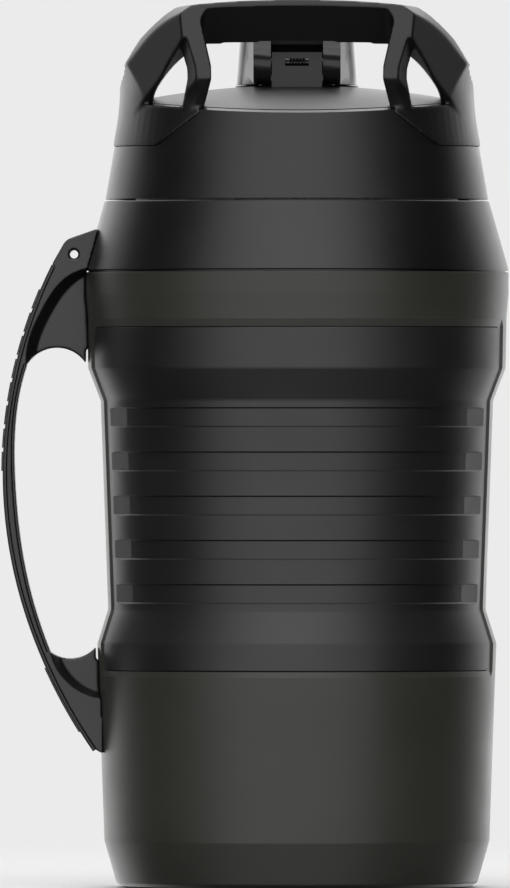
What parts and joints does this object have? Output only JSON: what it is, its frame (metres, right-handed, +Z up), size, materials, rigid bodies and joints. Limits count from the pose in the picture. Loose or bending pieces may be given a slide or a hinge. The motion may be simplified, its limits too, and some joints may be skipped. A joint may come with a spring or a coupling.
{
  "type": "insulated water jug",
  "caption": "Insulated water jug with a waisted double wall, grip panels, strap side handle, screw lid, carry handle and a hinged flip cap over its spout.",
  "frame": {"origin": "centre of the flat face the jug stands on, on the body's axis", "axes": "+Z up the body's axis, -Y towards the front with the cap hinge, -X towards the side handle"},
  "size_m": [0.1749, 0.146, 0.305],
  "materials": {
    "olive_shell": "satin",
    "black_shell": "satin",
    "handle_plastic": "matte",
    "deck_plastic": "satin",
    "cap_plastic": "gloss",
    "hinge_plastic": "satin",
    "spout_plastic": "satin",
    "liner": "satin",
    "grip_rubber": "matte",
    "handle_rubber": "matte",
    "seal_silicone": "matte",
    "foam": "matte",
    "steel": "satin"
  },
  "bodies": {
    "jug": {"outer_shell": "olive_shell", "base_plate": "olive_shell", "foam_insulation": "foam", "inner_liner": "liner", "collar": "black_shell", "front_grip": "grip_rubber", "rear_grip": "grip_rubber", "side_handle": "handle_plastic", "side_handle_outer_grip": "handle_rubber", "side_handle_inner_grip": "handle_rubber", "handle_screws": "steel"},
    "seal": {"lid_seal": "seal_silicone"},
    "lid": {"lid_cover": "black_shell", "lid_deck": "deck_plastic", "lid_body": "liner", "lid_insulation": "foam", "carry_handle": "handle_plastic", "carry_handle_screws": "steel", "spout": "spout_plastic", "spout_seal": "seal_silicone", "hinge_bracket": "hinge_plastic", "hinge_pin": "steel", "cap_spring": "steel", "latch_pin": "steel", "latch_spring": "steel"},
    "cap": {"spout_cap": "cap_plastic", "cap_seal": "seal_silicone"},
    "latch": {"latch_button": "hinge_plastic"}
  },
  "joints": [
    {"name": "lid_lift", "type": "slide", "parent": "jug", "child": "seal", "axis": [0, 0, 1], "range_m": [0, 0.0561]},
    {"name": "lid_turn", "type": "hinge", "parent": "seal", "child": "lid", "pos_m": [0, 0, 0.245], "axis": [0, 0, 1], "range_deg": [0, 1260]},
    {"name": "cap_hinge", "type": "hinge", "parent": "lid", "child": "cap", "pos_m": [0, -0.0095, 0.2837], "axis": [1, 0, 0], "range_deg": [0, 100]},
    {"name": "latch_press", "type": "hinge", "parent": "lid", "child": "latch", "pos_m": [0, 0.0434, 0.2786], "axis": [-1, 0, 0], "range_deg": [0, 9], "stiffness_Nm_per_rad": 0.05}
  ],
  "couplings": [
    {"joint": "lid_lift", "follows": "lid_turn", "m_per_rad": 0.0025465}
  ]
}
